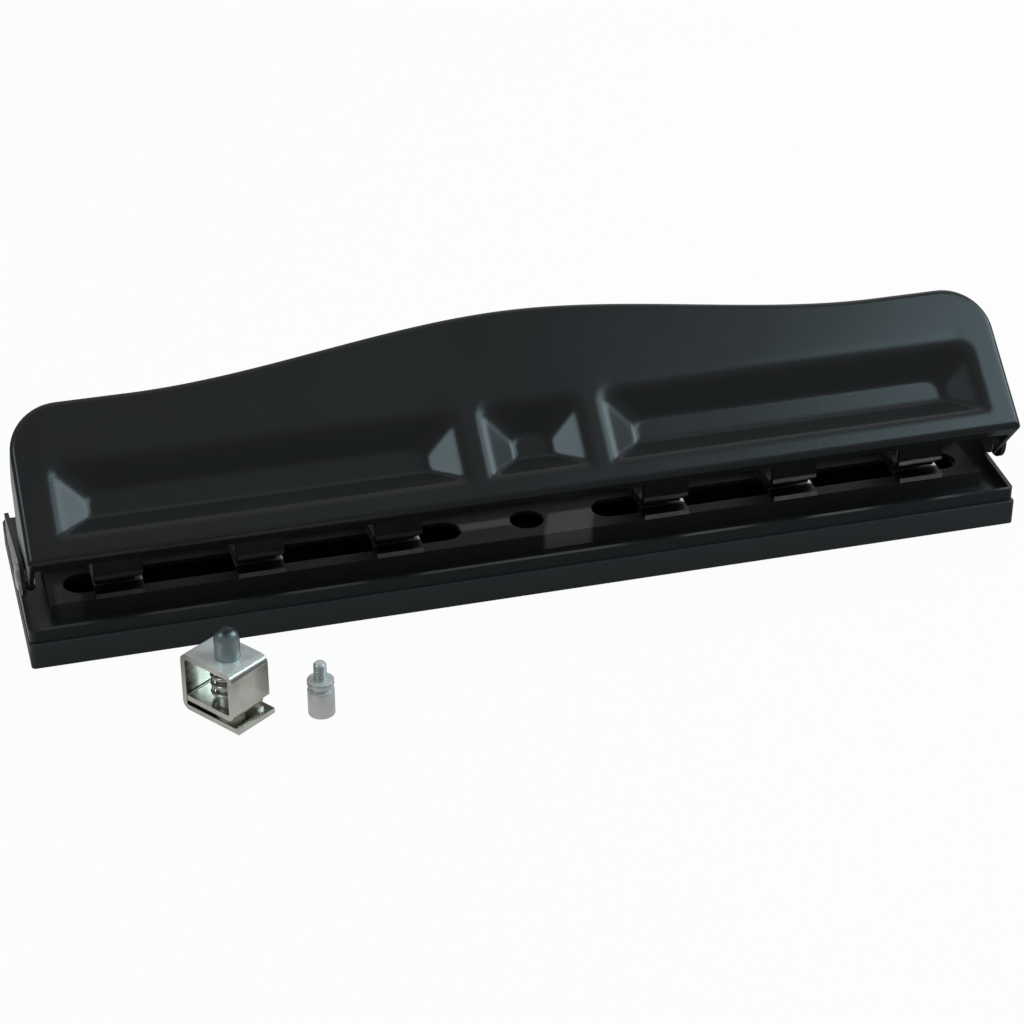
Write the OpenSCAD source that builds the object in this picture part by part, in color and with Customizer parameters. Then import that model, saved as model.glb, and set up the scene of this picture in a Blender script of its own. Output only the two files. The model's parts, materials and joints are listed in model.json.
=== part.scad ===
// Planner hole punch with a long push lever, a row of drop-in punch heads and a chip tray.
// X runs along the punch, the paper goes in at the front (-Y), Z is up, the table is Z = 0.

/* [Chip tray] */
// Length of the chip tray
tray_l = 280; // [270:1:320]
// Depth of the chip tray, front to back
tray_d = 67; // [64:1:80]
// Height of the chip tray
tray_h = 7; // [6:0.5:12]
// Wall of the chip tray
tray_wall = 1.8; // [1.4:0.1:2.2]
// Floor of the chip tray
tray_floor = 1.6; // [1:0.1:2.2]
// Radius of the tray's upright corners
tray_r = 1.2; // [0.8:0.1:2]

/* [Base frame] */
// Sheet of the pressed steel pieces
sheet_t = 1.2; // [0.8:0.1:1.5]
// Step from the tray's front face back to the frame's
frame_step = 1; // [0.5:0.1:2]
// Step from the tray's end faces in to the frame's
end_step = 0.2; // [0.1:0.1:0.6]
// Height of the frame's front rim over the tray
rim_h = 3.9; // [3:0.1:4.6]
// Rise of the side walls from the front rim to the ears
wall_rise = 1.6; // [0.5:0.1:2]
// Radius of the frame's upright corners
frame_r = 1.8; // [1.5:0.1:3]
// Width of the chip slots in the frame's floor
chip_slot_w = 12; // [10:0.5:14]

/* [Pivot] */
// Distance of the pivot from the tray's front edge
pivot_in = 13.7; // [12:0.1:15]
// Height of the pivot
pivot_z = 20.3; // [19.5:0.1:21]
// Diameter of the pivot rivets
pivot_d = 4; // [3:0.1:4.5]
// Radial clearance of the lever on the rivets
pivot_gap = 0.05; // [0.02:0.01:0.1]
// Radius of the ear around the pivot
ear_r = 5; // [4.6:0.1:6]
// Foot of the ear's front edge, from the tray's front edge
ear_front = 20.5; // [18.5:0.5:24]
// Rear end of the ear, from the tray's front edge
ear_back = 56; // [46:1:60]
// Height of the ear's rear end over the frame's floor
ear_tail = 7.5; // [4:0.5:9]
// Side clearance between lever and ears
side_gap = 0.3; // [0.2:0.05:0.6]

/* [Lever] */
// Lean of the lever's face from level, at rest
lean = 39.8; // [38:0.2:42]
// How far the lever's lip stands out over the tray's front edge
lip_out = 2.6; // [1:0.2:4]
// Height of the lever's lip
lip_z = 33.3; // [32.6:0.1:35]
// Width of the lever's face at its ends, up the slope
face_w = 44.4; // [42:0.2:50]
// Rise of the wave in the middle of the rear edge
wave_rise = 10.2; // [4:0.2:14]
// Half length of the wave
wave_half = 105.5; // [80:0.5:110]
// Radius of the lever's upper corners
corner_r = 13.5; // [8:0.5:16]
// Depth of the hem turned down around the face
hem = 4; // [3:0.2:5]
// How far the lever's lobe stays inside the ear's edge
lobe_step = 0.6; // [0.2:0.1:1]
// Lower rear corner of the lever's end flange, from the tray's front edge
flange_low_in = 27; // [24:0.5:30]
// Upper rear corner of the lever's end flange, from the tray's front edge
flange_high_in = 32; // [28:0.5:36]
// Height of that upper corner over the lip
flange_rise = 6; // [2:0.5:10]

/* [Lever recesses] */
// Lower edge of the recesses, up the slope from the lip
recess_low = 6.5; // [6:0.1:7]
// Upper edge of the recesses, up the slope from the lip
recess_high = 25.2; // [24.6:0.1:26]
// Depth of the recesses
recess_depth = 6.5; // [6.2:0.1:6.6]
// Run of the recesses' lower wall
run_low = 5.7; // [5:0.1:6.2]
// Run of the recesses' upper wall
run_high = 6.2; // [5.6:0.1:7]
// Inner end of the long recesses
long_in = 21; // [18:0.5:22]
// Flat left at the lever's ends, outside the long recesses
recess_end = 8.3; // [6:0.1:10]
// Run of the long recesses' inner end wall
run_in = 8.5; // [6:0.5:9]
// Run of the long recesses' outer end wall
run_out = 11.5; // [8:0.5:12]
// Half length of the middle recess
mid_half = 13.3; // [11:0.1:14]
// Run of the middle recess's end walls
run_mid = 7.3; // [6:0.1:8]

/* [Head rail] */
// Gap between the rail's ends and the lever's flanges
rail_end_gap = 4.1; // [3:0.1:6]
// Height of the rail's top
rail_z = 13; // [12.6:0.1:13.4]
// Clearance of the heads in front of the rail's fence
fence_gap = 0.3; // [0.2:0.05:0.5]
// Edge of the rail past the heads' front walls
rail_lead = 1.4; // [1:0.1:1.8]
// Height of the fence behind the heads
fence_h = 4; // [2:0.5:8]
// Foot of the rail behind the fence
foot_w = 6; // [5:0.5:8]
// Distance of the end rivets from the rail's ends
rivet_end = 8; // [6:0.5:12]
// Diameter of the rivets that hold the rail
rivet_d = 3; // [2:0.1:3.5]
// Diameter of a rivet's head, against its shank
rivet_head = 1.8; // [1.5:0.1:1.8]
// Thickness of a rivet's head
rivet_head_h = 0.8; // [0.5:0.1:1]

/* [Punch head] */
// Pitch of the seven head places
head_pitch = 38.1; // [36:0.1:38.6]
// Distance of the heads' pins from the tray's front edge
pin_in = 18.2; // [17.8:0.1:18.6]
// Width of a head
head_w = 13; // [12.4:0.1:15]
// Depth of a head over its walls
head_d = 18.2; // [17.4:0.1:19]
// Distance of a head's front wall from the pin's axis
head_front = 7.6; // [7.2:0.1:8.2]
// Height of a head over its bent strip
head_h = 16.8; // [16.4:0.1:17.4]
// Strip that a head is bent from
strip_t = 1.5; // [1.2:0.1:1.6]
// Outer radius of the strip's bends
bend_r = 2.2; // [1.8:0.1:2.6]
// Height of the paper slot
slot_h = 1.4; // [1:0.1:1.6]
// Lip of the die plate in front of the front wall
plate_lip = 1.6; // [1:0.1:2.4]
// Gap between the inner floor's free end and the back wall
free_gap = 0.2; // [0.1:0.05:0.4]
// Notch at the foot of the front wall
notch_w = 2.3; // [1:0.1:3]
// Height of the die collar under the plate
collar_h = 1.2; // [0.8:0.1:1.6]
// Wall of the die collar
collar_wall = 1.2; // [0.8:0.1:1.4]
// Clearance of the die collar in the rail's slot
collar_gap = 0.1; // [0.05:0.01:0.2]

/* [Pin and cutter] */
// Diameter of the pin
pin_d = 6.6; // [6:0.1:6.8]
// Height of the pin over the head
pin_out = 8.7; // [8:0.1:8.8]
// Diameter of the pin's flange
flange_d = 10.4; // [10:0.1:11]
// Thickness of the pin's flange
flange_t = 1.1; // [0.8:0.1:1.4]
// Diameter of the holes that are cut
cutter_d = 7; // [6.6:0.1:7.2]
// Length of the cutter below its groove
cutter_l = 7.4; // [6.6:0.1:7.8]
// Width of the cutter's groove and of its collar
groove_w = 1.4; // [1:0.1:1.5]
// Diameter of the cutter's stud
stud_d = 3.4; // [3:0.1:3.8]
// Length of the cutter's stud
stud_l = 5.2; // [4.4:0.1:6]
// Height of the resting cutter over the paper slot
cutter_rest = 0.2; // [0.1:0.05:0.4]
// Depth of the cutter's groove
groove_in = 0.8; // [0.4:0.1:1]
// Chamfer of the stud's end
stud_chamfer = 0.6; // [0.2:0.1:0.8]
// Depth of the hollow ground into the cutter's face
hollow_h = 1; // [0.5:0.1:1.5]
// Width of the cutter's edge and of the step to the hollow's floor
edge_w = 0.5; // [0.3:0.1:0.8]
// Play of the pin's flange under the head's top
flange_gap = 0.1; // [0.05:0.05:0.2]
// Sliding clearance of pin and cutter
slide_gap = 0.05; // [0.03:0.01:0.08]

/* [Spring] */
// Wire of the head's spring
wire_d = 1; // [0.7:0.05:1.1]
// Radial room between the cutter and the wire
spring_room = 0.35; // [0.3:0.05:0.5]
// Play of the spring at each seat
spring_seat = 0.05; // [0.02:0.01:0.1]
// Turns of the head's spring
spring_turns = 3; // [2.5:0.5:3.5]

/* [Loose pieces] */
// Place of the loose head from the middle, along the punch
loose_head_x = -93.3; // [-110:0.1:-92]
// Distance of the loose head in front of the tray
loose_head_out = 34.3; // [24:0.1:60]
// Turn of the loose head
loose_head_turn = 35; // [0:1:90]
// Place of the loose cutter from the middle, along the punch
loose_bit_x = -70.8; // [-74:0.1:-40]
// Distance of the loose cutter in front of the tray
loose_bit_out = 39.4; // [30:0.1:60]

/* [Hidden] */
$fn = 48;
SIDES = [-1, 1];
front_y = -tray_d / 2;
frame_floor = tray_h + sheet_t;
rim_z = tray_h + rim_h;
// Least radius of a hollow's upright corners
hollow_r = 0.4;
frame_half = tray_l / 2 - end_step;
lever_half = frame_half - sheet_t - side_gap;
rail_half = lever_half - sheet_t - rail_end_gap;
long_out = lever_half - recess_end;
pivot_y = front_y + pivot_in;
lip_y = front_y - lip_out;
pin_y = front_y + pin_in;
head_places = [for (i = [-3, -2, -1, 1, 2, 3]) i * head_pitch];
plate_top = strip_t;
inner_floor_low = strip_t + slot_h;
inner_floor_top = inner_floor_low + strip_t;
top_low = head_h - strip_t;
cutter_low = inner_floor_low + cutter_rest;
flange_top = top_low - flange_gap;
flange_low = flange_top - flange_t;
pin_low = cutter_low + cutter_l + 2 * groove_w;
collar_d = cutter_d + 2 * collar_wall;
slot_w = collar_d + 2 * collar_gap;
head_back = head_d - head_front;
rail_front = pin_y - head_front - rail_lead;
fence_y = pin_y + head_back + fence_gap;
slot_in = head_pitch / 2 + collar_d / 2;
slot_out = 3 * head_pitch + collar_d;
spring_r = cutter_d / 2 + spring_room + wire_d / 2;
spring_low = inner_floor_top + spring_seat;
spring_high = flange_low - spring_seat;
rivet_y = fence_y + sheet_t + foot_w / 2;
rivet_pitch = 2 * (rail_half - rivet_end) / 5;
rivet_places = [for (i = [-2.5:1:2.5]) i * rivet_pitch];
// Reach of a cut past the faces that it opens
cut = 1;

// Smooth step from 0 to 1
function ease(t) = t <= 0 ? 0 : t >= 1 ? 1 : t * t * (3 - 2 * t);
// Rear edge of the lever's face, up the slope
function rear_edge(x) = face_w + wave_rise * (1 - ease(abs(x) / wave_half));
// Points of an arc
function arc(c, r, a0, a1, n) =
    [for (i = [0:n]) let (a = a0 + (a1 - a0) * i / n) c + r * [cos(a), sin(a)]];
// A point on the lever's face, up the slope by s and inward by n, as Y and Z
function on_face(s, n = 0) = [lip_y + s * cos(lean) + n * sin(lean), lip_z + s * sin(lean) - n * cos(lean)];

// Rectangle with round corners, from its low corner
module round_rect(size, r) {
    translate([r, 0]) square([size.x - 2 * r, size.y]);
    translate([0, r]) square([size.x, size.y - 2 * r]);
    for (x = [r, size.x - r], y = [r, size.y - r]) translate([x, y]) circle(r);
}

// Slot with round ends, along X between its end centres
module slot_2d(x0, x1, w) {
    translate([x0, -w / 2]) square([x1 - x0, w]);
    for (x = [x0, x1]) translate([x, 0]) circle(w / 2);
}

// Lays a profile drawn in Y and Z across X, from x for a length l
module across(x, l) translate([x, 0, 0]) rotate([90, 0, 90]) linear_extrude(l) children();

module chip_tray() color("#26262a") {
    difference() {
        translate([-tray_l / 2, front_y, 0]) linear_extrude(tray_h) round_rect([tray_l, tray_d], tray_r);
        translate([-tray_l / 2 + tray_wall, front_y + tray_wall, tray_floor]) linear_extrude(tray_h)
            round_rect([tray_l - 2 * tray_wall, tray_d - 2 * tray_wall], max(tray_r - tray_wall, hollow_r));
    }
}

// Chip slots: one along each row of heads and one at the middle place
module chip_slots(w) {
    for (s = SIDES) translate([0, pin_y]) mirror([s < 0 ? 1 : 0, 0]) slot_2d(slot_in, slot_out, w);
    translate([0, pin_y]) circle(w / 2);
}

// Outline of a frame ear: a side wall that climbs to the back, with an arm that leans forward to the pivot
module ear_2d() {
    translate([pivot_y, pivot_z]) circle(ear_r);
    wall = front_y + frame_step + frame_r;
    back = front_y + ear_back;
    neck = -50;
    polygon([[pivot_y, pivot_z + ear_r], [back, frame_floor + ear_tail], [back, frame_floor],
             [wall, frame_floor], [wall, rim_z], [front_y + ear_front, rim_z + wall_rise],
             [pivot_y + ear_r * cos(neck), pivot_z + ear_r * sin(neck)]]);
}

// Pan with a rim in front and walls at its sides, open behind the ears
module base_frame() color("#202024") {
    inside = frame_half - sheet_t;
    depth = tray_d - 2 * frame_step;
    above = pivot_z + 2 * ear_r;
    difference() {
        union() {
            translate([-frame_half, front_y + frame_step, tray_h]) linear_extrude(rim_h)
                round_rect([2 * frame_half, depth], frame_r);
            for (x = [-frame_half, inside]) across(x, sheet_t) ear_2d();
        }
        translate([-inside, front_y + frame_step + sheet_t, frame_floor]) linear_extrude(above)
            round_rect([2 * inside, tray_d], max(frame_r - sheet_t, hollow_r));
        translate([-tray_l, front_y + ear_back, frame_floor]) cube([2 * tray_l, tray_d, above]);
        translate([0, 0, tray_h - cut]) linear_extrude(sheet_t + 2 * cut) chip_slots(chip_slot_w);
        for (x = rivet_places) translate([x, rivet_y, tray_h - cut])
            cylinder(d = rivet_d, h = sheet_t + 2 * cut);
        across(-tray_l, 2 * tray_l) translate([pivot_y, pivot_z]) circle(d = pivot_d);
    }
}

// Section of the rail: a front leg, the top that the heads stand on, a fence behind them and a foot
module rail_2d() {
    translate([rail_front, frame_floor]) square([sheet_t, rail_z - frame_floor]);
    translate([rail_front, rail_z - sheet_t]) square([fence_y + sheet_t - rail_front, sheet_t]);
    translate([fence_y, frame_floor]) square([sheet_t, rail_z + fence_h - frame_floor]);
    translate([fence_y, frame_floor]) square([sheet_t + foot_w, sheet_t]);
}

module head_rail() color("#2a2a2e") difference() {
    across(-rail_half, 2 * rail_half) rail_2d();
    translate([0, 0, rail_z - sheet_t - cut]) linear_extrude(sheet_t + 2 * cut) chip_slots(slot_w);
    for (x = rivet_places) translate([x, rivet_y, frame_floor - cut])
        cylinder(d = rivet_d, h = sheet_t + 2 * cut);
}

module rail_rivets() color("#8a8c90") for (x = rivet_places) translate([x, rivet_y, tray_h]) {
    cylinder(d = rivet_d, h = 2 * sheet_t);
    for (z = [2 * sheet_t, -rivet_head_h]) translate([0, 0, z])
        cylinder(d = rivet_head * rivet_d, h = rivet_head_h);
}

// Rivet through an ear and the lever's flange, with a round head outside
module pivot_rivet(side) color("#b9bbbe") mirror([side < 0 ? 1 : 0, 0, 0])
    translate([frame_half, pivot_y, pivot_z]) rotate([0, 90, 0]) {
        tail = 2 * sheet_t + side_gap + 2 * pivot_gap;
        head_d = rivet_head * pivot_d;
        translate([0, 0, -tail]) cylinder(d = pivot_d, h = tail);
        translate([0, 0, -tail - rivet_head_h]) cylinder(d = head_d, h = rivet_head_h);
        cylinder(d = head_d, h = rivet_head_h);
        translate([0, 0, rivet_head_h]) cylinder(d1 = head_d, d2 = pivot_d, h = rivet_head_h / 2);
    }

// Outline of the lever's face, drawn in by an even inset:
// straight lip and sides, round upper corners and a waved rear edge
module face_2d(inset) {
    half = lever_half - inset;
    r = corner_r - inset;
    bend = lever_half - corner_r;
    steps = 40;
    polygon(concat([[-half, inset], [half, inset]],
                   arc([bend, face_w - corner_r], r, 0, 90, 10),
                   [for (i = [1:steps - 1]) let (x = bend * (1 - 2 * i / steps)) [x, rear_edge(x) - inset]],
                   arc([-bend, face_w - corner_r], r, 90, 180, 10)));
}

// Block with four sloping walls, sunk by depth below n = 0, and open above by up
module sunk_block(x, run_x, s, run_s, depth, up) {
    intersection() {
        across(x[0], x[1] - x[0]) polygon([[s[0], up], [s[0], 0], [s[0] + run_s[0], -depth],
                                           [s[1] - run_s[1], -depth], [s[1], 0], [s[1], up]]);
        translate([0, s[1], 0]) rotate([90, 0, 0]) linear_extrude(s[1] - s[0])
            polygon([[x[0], up], [x[0], 0], [x[0] + run_x[0], -depth],
                     [x[1] - run_x[1], -depth], [x[1], 0], [x[1], up]]);
    }
}

// Extra half width of a recess on the sheet's underside, for a wall of the given run
function under(run) = sheet_t * (sqrt(run * run + recess_depth * recess_depth) - run) / recess_depth;

// The three recesses: the cavity, or with out = 1 the same form grown by the sheet, for the underside
module recesses(out) {
    up = out > 0 ? 0 : cut;
    s = [recess_low - out * under(run_low), recess_high + out * under(run_high)];
    for (side = SIDES) mirror([side < 0 ? 1 : 0, 0, 0])
        sunk_block([long_in - out * under(run_in), long_out + out * under(run_out)], [run_in, run_out],
                   s, [run_low, run_high], recess_depth, up);
    mid = mid_half + out * under(run_mid);
    sunk_block([-mid, mid], [run_mid, run_mid], s, [run_low, run_high], recess_depth, up);
}

// Outline of the lever's end flange, which reaches down to the pivot
module flange_2d() {
    lobe_r = ear_r - lobe_step;
    translate([pivot_y, pivot_z]) circle(lobe_r);
    pivot_deep = (pivot_y - lip_y) * sin(lean) + (lip_z - pivot_z) * cos(lean);
    polygon([on_face(0), on_face(face_w - corner_r), [front_y + flange_high_in, lip_z + flange_rise],
             [front_y + flange_low_in, pivot_z], [pivot_y, pivot_z - lobe_r], on_face(0, pivot_deep)]);
}

module lever_handle() color("#2b2e31") difference() {
    union() {
        difference() {
            translate([0, lip_y, lip_z]) rotate([lean, 0, 0]) union() {
                difference() {
                    translate([0, 0, -hem]) linear_extrude(hem) face_2d(0);
                    translate([0, 0, -hem - cut]) linear_extrude(hem + cut - sheet_t) face_2d(sheet_t);
                }
                translate([0, 0, -sheet_t]) recesses(1);
            }
            translate([0, lip_y, lip_z]) rotate([lean, 0, 0]) recesses(0);
        }
        for (x = [-lever_half, lever_half - sheet_t]) across(x, sheet_t) flange_2d();
    }
    across(-tray_l, 2 * tray_l) translate([pivot_y, pivot_z]) circle(d = pivot_d + 2 * pivot_gap);
}

// Section of a head's bent strip, in depth and height from the pin's axis and the plate's underside
module strip_2d() {
    inner_back = head_back - strip_t;
    difference() {
        union() {
            translate([-head_front, 0]) round_rect([head_d, head_h], bend_r);
            translate([-head_front - plate_lip, 0]) square([plate_lip + bend_r, strip_t]);
        }
        translate([strip_t - head_front, inner_floor_top])
            round_rect([head_d - 2 * strip_t, top_low - inner_floor_top], bend_r - strip_t);
        translate([-head_d, plate_top]) square([head_d + inner_back, slot_h]);
        translate([inner_back - free_gap, plate_top]) square([free_gap, inner_floor_top]);
        translate([-head_front, inner_floor_low]) difference() {
            translate([-cut, -cut]) square(bend_r + cut);
            translate([bend_r, bend_r]) circle(bend_r);
        }
    }
}

module bracket() color("#c9c7c0") difference() {
    union() {
        across(-head_w / 2, head_w) strip_2d();
        translate([0, 0, -collar_h]) cylinder(d = collar_d, h = collar_h + strip_t / 2);
    }
    translate([0, 0, -collar_h - cut])
        cylinder(d = cutter_d + 2 * slide_gap, h = collar_h + inner_floor_top + 2 * cut);
    translate([0, 0, top_low - cut]) cylinder(d = pin_d + 2 * slide_gap, h = strip_t + 2 * cut);
    translate([head_w / 2 - notch_w, -head_d, plate_top])
        cube([head_w, head_back + strip_t + cut, slot_h + bend_r]);
}

// Pin: a domed shank, a flange under the head's top and a socket for the cutter's stud
module pin() color("#5d656b") difference() {
    dome_r = pin_d / 2;
    union() {
        translate([0, 0, pin_low]) cylinder(d = pin_d, h = head_h + pin_out - dome_r - pin_low);
        translate([0, 0, flange_low]) cylinder(d = flange_d, h = flange_t);
        translate([0, 0, head_h + pin_out - dome_r]) intersection() {
            sphere(dome_r);
            cylinder(r = pin_d, h = pin_d);
        }
    }
    translate([0, 0, pin_low - cut]) cylinder(d = stud_d, h = stud_l + cut + cutter_rest);
}

// Cutter that screws into the pin: body, groove, collar and stud, standing on its cutting edge
module cutter() color("#a9abac") difference() {
    r = cutter_d / 2;
    neck = r - groove_in;
    stud_r = stud_d / 2;
    collar_z = cutter_l + groove_w;
    stud_z = collar_z + groove_w;
    end_z = stud_z + stud_l;
    rotate_extrude() polygon([[0, 0], [r, 0], [r, cutter_l], [neck, cutter_l], [neck, collar_z],
                              [r, collar_z], [r, stud_z], [stud_r, stud_z], [stud_r, end_z - stud_chamfer],
                              [stud_r - stud_chamfer, end_z], [0, end_z]]);
    translate([0, 0, -cut]) cylinder(r = r - edge_w, h = cut);
    cylinder(r1 = r - edge_w, r2 = r - 2 * edge_w, h = hollow_h);
}

// Path of the spring's wire: straight at both ends, one wire long, and even turns between
RINGS = 8;
function spring_point(i, n) = let (a = 360 * i / RINGS, z0 = spring_low + wire_d, z1 = spring_high - wire_d)
    [spring_r * cos(a), spring_r * sin(a), z0 + (z1 - z0) * i / n];
function spring_path() = let (n = round(spring_turns * RINGS), a = spring_point(0, n), b = spring_point(n, n))
    concat([[a.x, a.y, spring_low]], [for (i = [0:n]) spring_point(i, n)], [[b.x, b.y, spring_high]]);

function unit(v) = v / norm(v);
// Triangles of a tube of six sides along a path, with closed ends
module tube(path, d) {
    n = len(path);
    sides = 6;
    ring = function (i) let (
        t = unit(i == 0 ? path[1] - path[0] : i == n - 1 ? path[n - 1] - path[n - 2]
                 : unit(path[i + 1] - path[i]) + unit(path[i] - path[i - 1])),
        u = unit([path[i].x, path[i].y, 0] - t * (t * [path[i].x, path[i].y, 0])),
        v = cross(t, u))
        [for (k = [0:sides - 1]) path[i] + d / 2 * (cos(360 * k / sides) * u + sin(360 * k / sides) * v)];
    last = (n - 1) * sides;
    walls = [for (i = [0:n - 2], k = [0:sides - 1])
        let (a = i * sides + k, b = i * sides + (k + 1) % sides)
        each [[a, a + sides, b], [b, a + sides, b + sides]]];
    ends = [for (k = [1:sides - 2]) each [[0, k, k + 1], [last, last + k + 1, last + k]]];
    polyhedron([for (i = [0:n - 1]) each ring(i)], concat(walls, ends));
}

module spring() color("#8f8f8b") tube(spring_path(), wire_d);

// Least gap between the spring's turns, measured between its path's points half a turn or more apart
spring_points = spring_path();
echo(spring_self_gap = min([for (i = [1:len(spring_points) - 2], j = [1:len(spring_points) - 2])
    if (j >= i + RINGS / 2) norm(spring_points[i] - spring_points[j])]) - wire_d);

module at_head(i) translate([head_places[i - 1], pin_y, rail_z]) children();
module at_loose_head()
    translate([loose_head_x, front_y - loose_head_out, collar_h]) rotate(loose_head_turn) children();
module cutter_in_head() translate([0, 0, cutter_low]) cutter();

chip_tray();
base_frame();
head_rail();
rail_rivets();
pivot_rivet(-1);  // pivot_rivet_left
pivot_rivet(1);  // pivot_rivet_right
lever_handle();
for (i = [1:6]) {
    at_head(i) bracket();
    at_head(i) pin();
    at_head(i) cutter_in_head();
    at_head(i) spring();
}
at_loose_head() bracket();  // loose_head_bracket
at_loose_head() pin();  // loose_head_pin
at_loose_head() cutter_in_head();  // loose_head_cutter
at_loose_head() spring();  // loose_head_spring
translate([loose_bit_x, front_y - loose_bit_out, 0]) cutter();  // loose_cutter
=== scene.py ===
"""Dresses the planner hole punch: pressed lever, base, punch heads, loose pieces, studio and camera."""

from __future__ import annotations

import json
import logging
import math
from dataclasses import dataclass, field
from enum import Enum
from typing import Any, Mapping, Optional, Sequence, Union

import bmesh
import bpy
import numpy as np
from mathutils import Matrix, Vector

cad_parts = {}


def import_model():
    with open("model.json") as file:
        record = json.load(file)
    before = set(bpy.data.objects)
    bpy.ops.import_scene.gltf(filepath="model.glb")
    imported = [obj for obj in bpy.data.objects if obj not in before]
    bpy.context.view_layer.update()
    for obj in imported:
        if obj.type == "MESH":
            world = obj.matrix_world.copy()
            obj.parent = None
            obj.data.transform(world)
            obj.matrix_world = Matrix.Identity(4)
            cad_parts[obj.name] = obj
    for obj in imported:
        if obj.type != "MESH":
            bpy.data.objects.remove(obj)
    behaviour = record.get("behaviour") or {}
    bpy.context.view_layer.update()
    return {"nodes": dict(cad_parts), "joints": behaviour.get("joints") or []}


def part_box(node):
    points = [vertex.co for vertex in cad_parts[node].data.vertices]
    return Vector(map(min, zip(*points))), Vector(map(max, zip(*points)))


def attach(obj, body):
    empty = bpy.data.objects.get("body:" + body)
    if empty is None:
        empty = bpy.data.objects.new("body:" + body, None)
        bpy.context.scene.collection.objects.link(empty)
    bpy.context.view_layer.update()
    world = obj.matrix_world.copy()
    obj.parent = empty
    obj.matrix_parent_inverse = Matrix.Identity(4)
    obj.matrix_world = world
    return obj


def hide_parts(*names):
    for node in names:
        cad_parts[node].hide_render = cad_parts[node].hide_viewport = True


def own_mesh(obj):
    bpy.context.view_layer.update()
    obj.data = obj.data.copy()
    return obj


LOG = logging.getLogger("hole_punch")
MM = 0.001
SEATED_HEADS = 6
QUARTER = 0.5 * math.pi
CREASE = 35.0
FLAT_ANGLE = 0.5
EDGE_ANGLE = 40.0
EDGE_STEPS = 3
WELD = 1e-7
SIDE_SHARE = 0.45
FACING = (0.4, 0.8)

Pair = tuple[float, float]
Triple = tuple[float, float, float]
Colour = Triple


class Body(str, Enum):
    """Moving bodies that single pieces ride on."""

    LEVER = "lever"
    LOOSE_CUTTER = "loose_cutter"


class Slot(str, Enum):
    """The record's material slots of the pieces that are made here."""

    LEVER = "lever_paint"
    PIN = "pin_steel"
    CUTTER = "cutter_steel"
    SPRING = "spring_wire"


class Finish(str, Enum):
    """The finishes, by the names of their fields."""

    LEVER = "lever"
    BASE = "base"
    RAIL = "rail"
    TRAY = "tray"
    NICKEL = "nickel"
    SEATED = "seated"
    PIN = "pin"
    CUTTER = "cutter"
    SPRING = "spring"
    RIVET = "rivet"


class Wire:
    """A shader socket that takes part in Python arithmetic."""

    def __init__(self, shade: "Shade", socket: bpy.types.NodeSocket) -> None:
        """Keeps the socket and the tree that it belongs to."""
        self.shade = shade
        self.socket = socket

    def _math(self, operation: str, first: "Value", second: "Value") -> "Wire":
        """Adds a Math node on two values."""
        node = self.shade.add("ShaderNodeMath", {"operation": operation}, {0: first, 1: second})
        return self.shade.out(node)

    def __add__(self, other: "Value") -> "Wire":
        """Sum."""
        return self._math("ADD", self, other)

    __radd__ = __add__

    def __sub__(self, other: "Value") -> "Wire":
        """Difference."""
        return self._math("SUBTRACT", self, other)

    def __rsub__(self, other: "Value") -> "Wire":
        """Difference from a plain number."""
        return self._math("SUBTRACT", other, self)

    def __mul__(self, other: "Value") -> "Wire":
        """Product."""
        return self._math("MULTIPLY", self, other)

    __rmul__ = __mul__


Value = Union[float, Sequence[float], Wire]


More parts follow.
